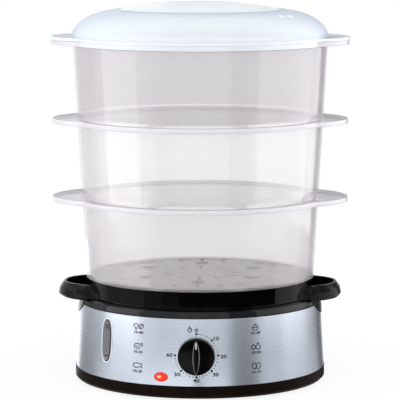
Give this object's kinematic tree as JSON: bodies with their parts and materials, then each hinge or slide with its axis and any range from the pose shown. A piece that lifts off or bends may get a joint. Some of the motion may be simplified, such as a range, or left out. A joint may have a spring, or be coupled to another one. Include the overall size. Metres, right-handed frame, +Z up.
{
  "type": "electric food steamer",
  "caption": "Tiered electric food steamer: steel and black base with a timer knob, lamp and level window, drip tray with filler scoops, clear stacking bowls and a domed lid.",
  "frame": {"origin": "centre of the base on the plane the rubber feet stand on", "axes": "+Z up the axis of the stack, +X towards the right-hand tabs and scoop, -Y towards the timer knob"},
  "size_m": [0.2966, 0.2648, 0.3757],
  "materials": {
    "base_black": "satin moulded plastic",
    "brushed_band": "brushed round the band",
    "black_gloss": "polished mould finish",
    "gauge_clear": "clear moulded plastic",
    "seal_rubber": "moulded",
    "red_lens": "clear red moulding",
    "lamp_glass": "clear",
    "dial_chrome": "polished plate",
    "timer_plastic": "as moulded",
    "bell_steel": "pressed",
    "screw_steel": "zinc plated",
    "brass_tab": "stamped",
    "heater_aluminium": "non-stick coat on a cast plate",
    "element_sheath": "drawn sheath",
    "thermostat_can": "phenolic body",
    "foot_rubber": "moulded",
    "lead_sleeve": "silicone sleeve",
    "bowl_clear": "lightly frosted clear plastic",
    "lid_clear": "lightly frosted clear plastic"
  },
  "bodies": {
    "base": {"base_housing": "base_black", "steel_band": "brushed_band", "water_tank": "black_gloss", "gauge_window": "gauge_clear", "gauge_seal": "seal_rubber", "pilot_lens": "red_lens", "neon_lamp": "lamp_glass", "dial_bezel": "dial_chrome", "timer_case": "timer_plastic", "timer_bell": "bell_steel", "timer_screws": "screw_steel", "timer_terminals": "brass_tab", "heater_plate": "heater_aluminium", "heater_tube": "element_sheath", "heater_seal": "seal_rubber", "clamp_ring": "screw_steel", "clamp_nuts": "screw_steel", "thermostat": "thermostat_can", "thermal_fuse": "thermostat_can", "terminal_block": "timer_plastic", "cord_gland": "seal_rubber", "rubber_feet": "foot_rubber", "housing_screws": "screw_steel", "lead_element": "lead_sleeve", "lead_timer": "lead_sleeve"},
    "dial": {"timer_knob": "black_gloss", "timer_shaft": "screw_steel"},
    "steam_guide": {"steam_ring": "base_black"},
    "tray": {"drip_tray": "black_gloss"},
    "tier_1": {"bowl_lower": "bowl_clear"},
    "tier_2": {"bowl_middle": "bowl_clear"},
    "tier_3": {"bowl_upper": "bowl_clear"},
    "cover": {"lid": "lid_clear"}
  },
  "joints": [
    {"name": "timer_turn", "type": "hinge", "parent": "base", "child": "dial", "pos_m": [0, -0.1255, 0.0437], "axis": [0, 1, 0], "range_deg": [0, 270]},
    {"name": "steam_ring_lift", "type": "slide", "parent": "base", "child": "steam_guide", "axis": [0, 0, 1], "range_m": [0, 0.03]},
    {"name": "tray_lift", "type": "slide", "parent": "base", "child": "tray", "axis": [0, 0, 1], "range_m": [0, 0.12]},
    {"name": "lower_bowl_lift", "type": "slide", "parent": "tray", "child": "tier_1", "axis": [0, 0, 1], "range_m": [0, 0.12]},
    {"name": "middle_bowl_lift", "type": "slide", "parent": "tier_1", "child": "tier_2", "axis": [0, 0, 1], "range_m": [0, 0.12]},
    {"name": "upper_bowl_lift", "type": "slide", "parent": "tier_2", "child": "tier_3", "axis": [0, 0, 1], "range_m": [0, 0.12]},
    {"name": "lid_lift", "type": "slide", "parent": "tier_3", "child": "cover", "axis": [0, 0, 1], "range_m": [0, 0.12]}
  ]
}
